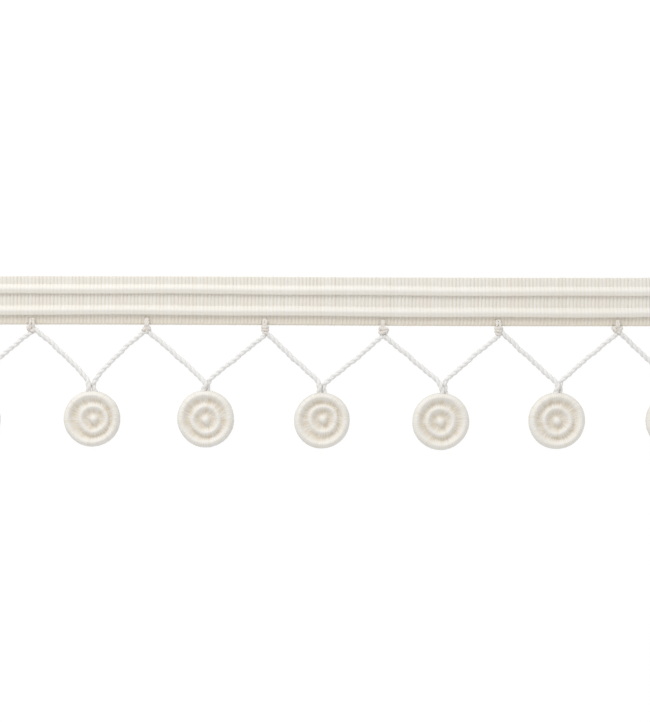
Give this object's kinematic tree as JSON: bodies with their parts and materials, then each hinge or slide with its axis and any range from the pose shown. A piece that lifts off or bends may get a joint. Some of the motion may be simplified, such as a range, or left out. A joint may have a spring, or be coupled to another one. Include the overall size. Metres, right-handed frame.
{
  "type": "rosette fringe trim",
  "caption": "Flat length of trimming: a ribbed braid heading with raised cords along it, a zig-zag of knotted twisted cord below, and a round thread-wound rosette at each point.",
  "frame": {"origin": "under the middle of the part's box, on the surface that the trim lies on", "axes": "+X along the trim, +Y up its face from the rosettes to the heading, +Z out of its face"},
  "size_m": [0.4312, 0.0892, 0.0058],
  "materials": {
    "braid": "matt ivory braid with fine cross ribs",
    "heading_cord": "soft satin ivory yarn laid lengthwise",
    "fringe_cord": "matt ivory two-ply twisted cord",
    "rosette_thread": "ivory thread wound radially over rings, slightly lustrous"
  },
  "bodies": {
    "root": {"heading": "braid", "heading_cord_upper": "heading_cord", "heading_cord_lower": "heading_cord", "fringe_cord_1": "fringe_cord", "fringe_cord_2": "fringe_cord", "fringe_cord_3": "fringe_cord", "fringe_cord_4": "fringe_cord", "fringe_cord_5": "fringe_cord", "fringe_cord_6": "fringe_cord", "fringe_cord_7": "fringe_cord", "fringe_cord_8": "fringe_cord", "rosette_1": "rosette_thread", "rosette_2": "rosette_thread", "rosette_3": "rosette_thread", "rosette_4": "rosette_thread", "rosette_5": "rosette_thread", "rosette_6": "rosette_thread", "rosette_7": "rosette_thread"}
  },
  "joints": []
}
